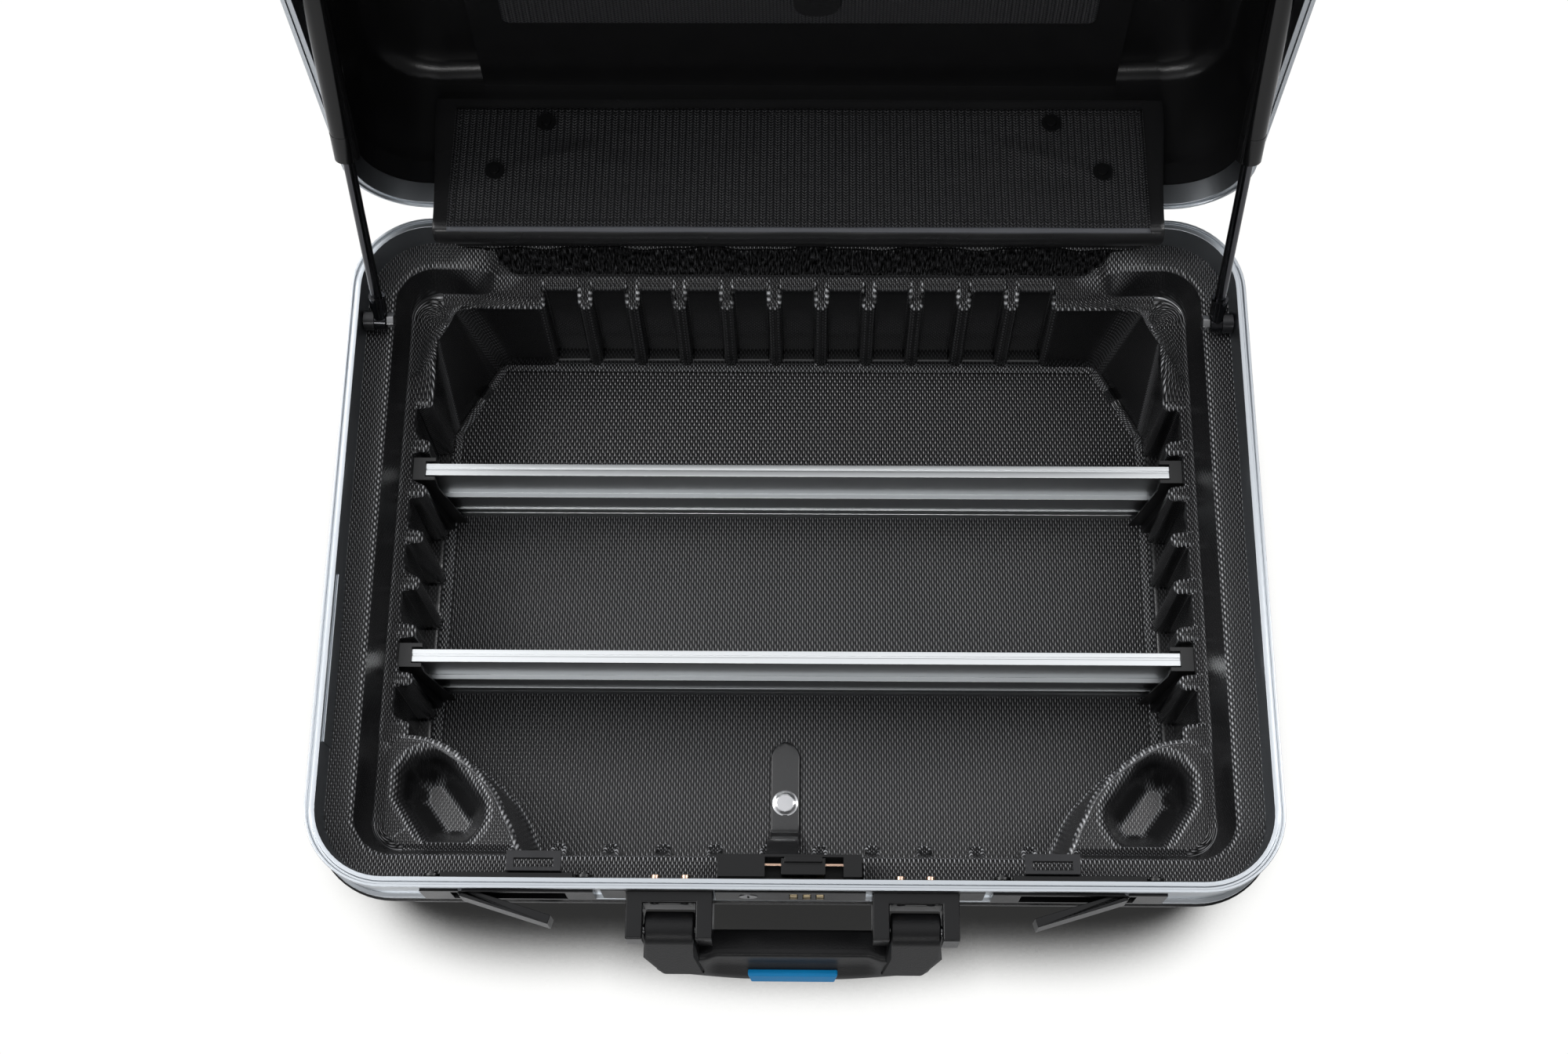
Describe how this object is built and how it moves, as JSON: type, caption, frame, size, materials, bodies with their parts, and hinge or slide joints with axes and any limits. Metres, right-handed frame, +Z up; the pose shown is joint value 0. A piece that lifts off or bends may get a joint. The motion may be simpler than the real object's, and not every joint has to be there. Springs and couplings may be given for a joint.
{
  "type": "tool attache case",
  "caption": "Rigid attache case with plastic shells in aluminium frames, ribbed liner with lift-out dividers, strut-held lid, draw latches, combination lock and folding handle",
  "frame": {"origin": "middle of the flat underside of the base", "axes": "+X to the right seen from the handle side, +Y from the handle to the hinge, +Z up"},
  "size_m": [0.492, 0.5244, 0.5024],
  "materials": {
    "shell_plastic": "textured black",
    "liner_plastic": "black, woven relief",
    "aluminium": "satin anodised",
    "hinge_steel": "bright plated",
    "leather": "black, fine grain",
    "loop_fabric": "ribbed loop fastener",
    "webbing": "woven strap with stitched edges",
    "black_metal": "satin black",
    "dark_steel": "black oxide",
    "steel": "bright",
    "copper_rivet": "bronze plated",
    "handle_plastic": "fine grain",
    "insert_plastic": "blue",
    "dial_brass": "plated",
    "holder_plastic": "moulded black"
  },
  "bodies": {
    "base": {"base_shell": "shell_plastic", "base_liner": "liner_plastic", "base_frame": "aluminium", "frame_splice": "aluminium", "hinge_base_leaf": "hinge_steel", "hinge_pin": "steel", "flap_lower": "leather", "rear_loop_strip": "loop_fabric", "handle_brackets": "black_metal", "handle_pins": "steel", "bracket_rivets": "copper_rivet", "latch_housings": "black_metal", "latch_pins": "steel", "latch_screws": "dark_steel", "latch_guides": "black_metal", "lock_plate": "black_metal", "lock_case": "black_metal", "lock_rod": "copper_rivet", "dial_shaft": "steel", "strut_base_studs": "dark_steel", "strut_base_nuts": "steel", "strap": "webbing", "strap_snap": "steel"},
    "lid": {"lid_shell": "shell_plastic", "lid_frame": "aluminium", "hinge_lid_leaf": "hinge_steel", "lid_loop_panel": "loop_fabric", "lid_tab": "leather", "latch_catches": "black_metal", "lock_hook": "black_metal", "strut_lid_studs": "dark_steel", "flap_upper": "leather", "flap_loop_panel": "loop_fabric", "flap_screws": "dark_steel"},
    "handle": {"handle_grip": "handle_plastic", "handle_insert": "insert_plastic"},
    "divider_rear": {"rail_rear": "aluminium", "holders_rear": "holder_plastic"},
    "divider_front": {"rail_front": "aluminium", "holders_front": "holder_plastic"},
    "strut_rod_left": {"strut_rod_left": "steel"},
    "strut_rod_right": {"strut_rod_right": "steel"},
    "strut_tube_left": {"strut_tube_left": "black_metal"},
    "strut_tube_right": {"strut_tube_right": "black_metal"},
    "lever_left": {"lever_left": "black_metal"},
    "lever_right": {"lever_right": "black_metal"},
    "loop_left": {"loop_left": "dark_steel"},
    "loop_right": {"loop_right": "dark_steel"},
    "dial_1": {"dial_1": "dial_brass"},
    "dial_2": {"dial_2": "dial_brass"},
    "dial_3": {"dial_3": "dial_brass"},
    "key_cylinder": {"key_cylinder": "steel"},
    "lock_bolt": {"lock_bolt": "black_metal"}
  },
  "joints": [
    {"name": "lid_hinge", "type": "hinge", "parent": "base", "child": "lid", "pos_m": [0, 0.1904, 0.126], "axis": [1, 0, 0], "range_deg": [0, 93]},
    {"name": "handle_hinge", "type": "hinge", "parent": "base", "child": "handle", "pos_m": [0, -0.2035, 0.108], "axis": [-1, 0, 0], "range_deg": [0, 75]},
    {"name": "strut_left_turn", "type": "hinge", "parent": "base", "child": "strut_rod_left", "pos_m": [-0.2291, 0.1284, 0.116], "axis": [1, 0, 0], "range_deg": [0, 104.1]},
    {"name": "strut_left_slide", "type": "slide", "parent": "strut_rod_left", "child": "strut_tube_left", "axis": [0, 0.3588, 0.9334], "range_m": [-0.08557, 0]},
    {"name": "lever_left_hinge", "type": "hinge", "parent": "base", "child": "lever_left", "pos_m": [-0.165, -0.1859, 0.1105], "axis": [0, 0, 1], "range_deg": [0, 17]},
    {"name": "loop_left_slide", "type": "slide", "parent": "base", "child": "loop_left", "axis": [0, 0, -1], "range_m": [0, 0.003]},
    {"name": "strut_right_turn", "type": "hinge", "parent": "base", "child": "strut_rod_right", "pos_m": [0.2291, 0.1284, 0.116], "axis": [1, 0, 0], "range_deg": [0, 104.1]},
    {"name": "strut_right_slide", "type": "slide", "parent": "strut_rod_right", "child": "strut_tube_right", "axis": [0, 0.3588, 0.9334], "range_m": [-0.08557, 0]},
    {"name": "lever_right_hinge", "type": "hinge", "parent": "base", "child": "lever_right", "pos_m": [0.165, -0.1859, 0.1105], "axis": [0, 0, -1], "range_deg": [0, 17]},
    {"name": "loop_right_slide", "type": "slide", "parent": "base", "child": "loop_right", "axis": [0, 0, -1], "range_m": [0, 0.003]},
    {"name": "dial_1_turn", "type": "hinge", "parent": "base", "child": "dial_1", "pos_m": [0.0004, -0.1821, 0.1105], "axis": [1, 0, 0], "continuous": true},
    {"name": "dial_2_turn", "type": "hinge", "parent": "base", "child": "dial_2", "pos_m": [0.007, -0.1821, 0.1105], "axis": [1, 0, 0], "continuous": true},
    {"name": "dial_3_turn", "type": "hinge", "parent": "base", "child": "dial_3", "pos_m": [0.0136, -0.1821, 0.1105], "axis": [1, 0, 0], "continuous": true},
    {"name": "key_turn", "type": "hinge", "parent": "base", "child": "key_cylinder", "pos_m": [-0.0222, -0.1865, 0.1105], "axis": [0, 1, 0], "range_deg": [0, 90]},
    {"name": "bolt_slide", "type": "slide", "parent": "base", "child": "lock_bolt", "axis": [1, 0, 0], "range_m": [0, 0.0025]},
    {"name": "divider_rear_lift", "type": "slide", "parent": "base", "child": "divider_rear", "axis": [0, 0, 1], "range_m": [0, 0.12]},
    {"name": "divider_front_lift", "type": "slide", "parent": "base", "child": "divider_front", "axis": [0, 0, 1], "range_m": [0, 0.12]}
  ],
  "couplings": [
    {"joint": "strut_left_turn", "follows": "lid_hinge", "ratio": 1.1139},
    {"joint": "strut_left_slide", "follows": "lid_hinge", "m_per_rad": -0.05241},
    {"joint": "loop_left_slide", "follows": "lever_left_hinge", "m_per_rad": 0.010077},
    {"joint": "strut_right_turn", "follows": "lid_hinge", "ratio": 1.1139},
    {"joint": "strut_right_slide", "follows": "lid_hinge", "m_per_rad": -0.05241},
    {"joint": "loop_right_slide", "follows": "lever_right_hinge", "m_per_rad": 0.010077},
    {"joint": "key_turn", "follows": "bolt_slide", "rad_per_m": 628.32}
  ]
}
